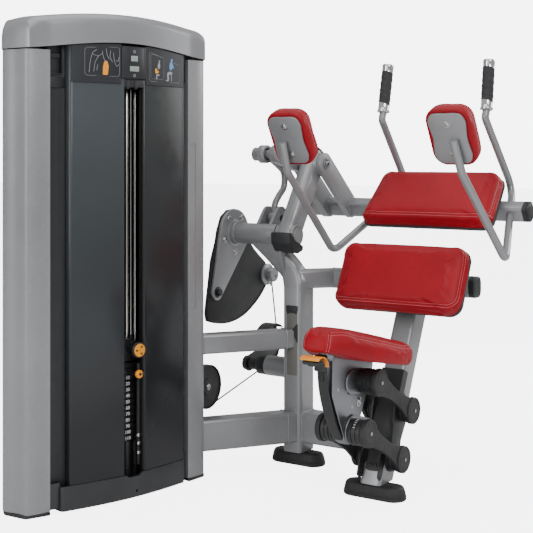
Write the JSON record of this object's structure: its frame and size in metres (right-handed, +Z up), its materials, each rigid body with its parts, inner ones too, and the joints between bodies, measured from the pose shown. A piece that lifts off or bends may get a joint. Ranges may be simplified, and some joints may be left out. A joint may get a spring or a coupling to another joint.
{
  "type": "ab crunch machine",
  "caption": "Seated abdominal crunch machine with a weight tower, a two-stage movement arm with grips and elbow pads, back pads and a height-adjustable seat.",
  "frame": {"origin": "centre of the front foot's underside, on the floor under the seat column", "axes": "+Z up; -Y is where the user faces, so +Y runs from the seat towards the rear cable pulley; +X is the user's left and the weight tower stands on -X"},
  "size_m": [1.5498, 1.6479, 1.77],
  "materials": {
    "frame_paint": "satin metallic silver grey powder coat",
    "tower_paint": "satin metallic silver grey",
    "black_plastic": "fine moulded texture, near black",
    "black_steel": "semi matt black",
    "smoked_panel": "dark smoked blue grey, glossy",
    "upholstery": "red vinyl with pale stitching",
    "grip_rubber": "charcoal moulded rubber",
    "chrome": "polished",
    "orange_plastic": "orange moulded plastic",
    "placard": null,
    "seat_casting": "brushed plate",
    "cable": "black jacketed wire rope"
  },
  "bodies": {
    "frame": {"tower_base": "black_steel", "left_post": "tower_paint", "right_post": "tower_paint", "base_shroud": "black_plastic", "left_panel": "smoked_panel", "right_panel": "smoked_panel", "rear_panel": "black_plastic", "left_placard": "placard", "right_placard": "placard", "rep_counter": "black_plastic", "tower_cap": "tower_paint", "guide_rod_left": "chrome", "guide_rod_right": "chrome", "stack_bumper_left": "black_plastic", "stack_bumper_right": "black_plastic", "top_crossmember": "black_steel", "resting_plates": "black_steel", "main_frame": "frame_paint", "front_foot": "black_plastic", "rear_foot": "black_plastic", "cross_tube_cap": "black_plastic", "pulley_bracket": "black_steel", "lower_cable": "cable", "upper_cable": "cable", "lower_back_pad": "upholstery", "lower_pad_shell": "black_plastic"},
    "main_arm": {"main_arm": "frame_paint", "arm_plug": "frame_paint", "pivot_shaft": "chrome", "cam_lever": "frame_paint", "lever_bolt": "black_steel", "cam": "black_steel", "cable_anchor": "frame_paint"},
    "upper_arm": {"upper_arm_frame": "frame_paint", "upper_pivot_shaft": "chrome", "arm_bolt": "black_steel", "bar_end_cap": "black_plastic", "left_grip": "grip_rubber", "right_grip": "grip_rubber", "left_elbow_plate": "frame_paint", "left_elbow_pad": "upholstery", "right_elbow_plate": "frame_paint", "right_elbow_pad": "upholstery", "upper_back_pad": "upholstery", "upper_pad_shell": "black_plastic"},
    "link_rod": {"link_rod": "frame_paint"},
    "stack": {"stack_head": "black_steel", "lifted_plates": "black_steel", "tower_cable": "cable"},
    "dial": {"add_weight_dial": "orange_plastic"},
    "pin": {"selector_pin": "orange_plastic"},
    "low_pulley": {"low_pulley": "black_plastic"},
    "rear_pulley": {"rear_pulley": "black_plastic"},
    "top_pulley": {"top_pulley": "black_plastic"},
    "upper_link": {"upper_link": "black_steel"},
    "lower_link": {"lower_link": "black_steel"},
    "seat": {"seat_pad": "upholstery", "seat_post": "seat_casting", "seat_trim": "black_plastic"},
    "seat_lever": {"seat_lever": "orange_plastic"}
  },
  "joints": [
    {"name": "arm_pivot", "type": "hinge", "parent": "frame", "child": "main_arm", "pos_m": [-0.5025, 0.195, 0.932], "axis": [1, 0, 0], "range_deg": [0, 40], "deforming": ["upper_cable"]},
    {"name": "upper_pivot", "type": "hinge", "parent": "main_arm", "child": "upper_arm", "pos_m": [-0.5025, 0.38, 1.222], "axis": [1, 0, 0], "range_deg": [0, 21]},
    {"name": "rod_pivot", "type": "hinge", "parent": "frame", "child": "link_rod", "pos_m": [-0.62, 0.264, 0.995], "axis": [1, 0, 0], "range_deg": [0, 48]},
    {"name": "stack_lift", "type": "slide", "parent": "frame", "child": "stack", "axis": [0, 0, 1], "range_m": [0, 0.25], "deforming": ["tower_cable"]},
    {"name": "dial_turn", "type": "hinge", "parent": "stack", "child": "dial", "pos_m": [-0.7154, -0.49616, 0.541], "axis": [0.9729, -0.2311, 0], "range_deg": [-60, 60]},
    {"name": "pin_pull", "type": "slide", "parent": "stack", "child": "pin", "axis": [0.9729, -0.2311, 0], "range_m": [0, 0.06]},
    {"name": "low_pulley_spin", "type": "hinge", "parent": "frame", "child": "low_pulley", "pos_m": [-0.79, 0.0175, 0.313], "axis": [1, 0, 0], "range_deg": [0, 175]},
    {"name": "rear_pulley_spin", "type": "hinge", "parent": "frame", "child": "rear_pulley", "pos_m": [-0.79, 0.462, 0.425], "axis": [1, 0, 0], "range_deg": [0, 175]},
    {"name": "top_pulley_spin", "type": "hinge", "parent": "frame", "child": "top_pulley", "pos_m": [-0.84877, -0.43673, 1.53], "axis": [0.2311, 0.9729, 0], "range_deg": [-245, 0]},
    {"name": "seat_adjust", "type": "hinge", "parent": "frame", "child": "upper_link", "pos_m": [0, 0.126, 0.304], "axis": [1, 0, 0], "range_deg": [-8, 20]},
    {"name": "lower_link_pivot", "type": "hinge", "parent": "frame", "child": "lower_link", "pos_m": [0, 0.046, 0.139], "axis": [1, 0, 0], "range_deg": [-8.5, 20.5]},
    {"name": "seat_level", "type": "hinge", "parent": "upper_link", "child": "seat", "pos_m": [0, -0.132, 0.45], "axis": [1, 0, 0], "range_deg": [-20.5, 8.5]},
    {"name": "seat_release", "type": "hinge", "parent": "seat", "child": "seat_lever", "pos_m": [0, -0.392, 0.59], "axis": [1, 0, 0], "range_deg": [-12, 0]}
  ],
  "couplings": [
    {"joint": "upper_pivot", "follows": "arm_pivot", "ratio": 0.51},
    {"joint": "rod_pivot", "follows": "arm_pivot", "ratio": 1.175},
    {"joint": "stack_lift", "follows": "arm_pivot", "m_per_rad": 0.355},
    {"joint": "low_pulley_spin", "follows": "arm_pivot", "ratio": 4.186},
    {"joint": "rear_pulley_spin", "follows": "arm_pivot", "ratio": 4.186},
    {"joint": "top_pulley_spin", "follows": "arm_pivot", "ratio": -5.917},
    {"joint": "lower_link_pivot", "follows": "seat_adjust", "ratio": 1},
    {"joint": "seat_level", "follows": "seat_adjust", "ratio": -1}
  ]
}
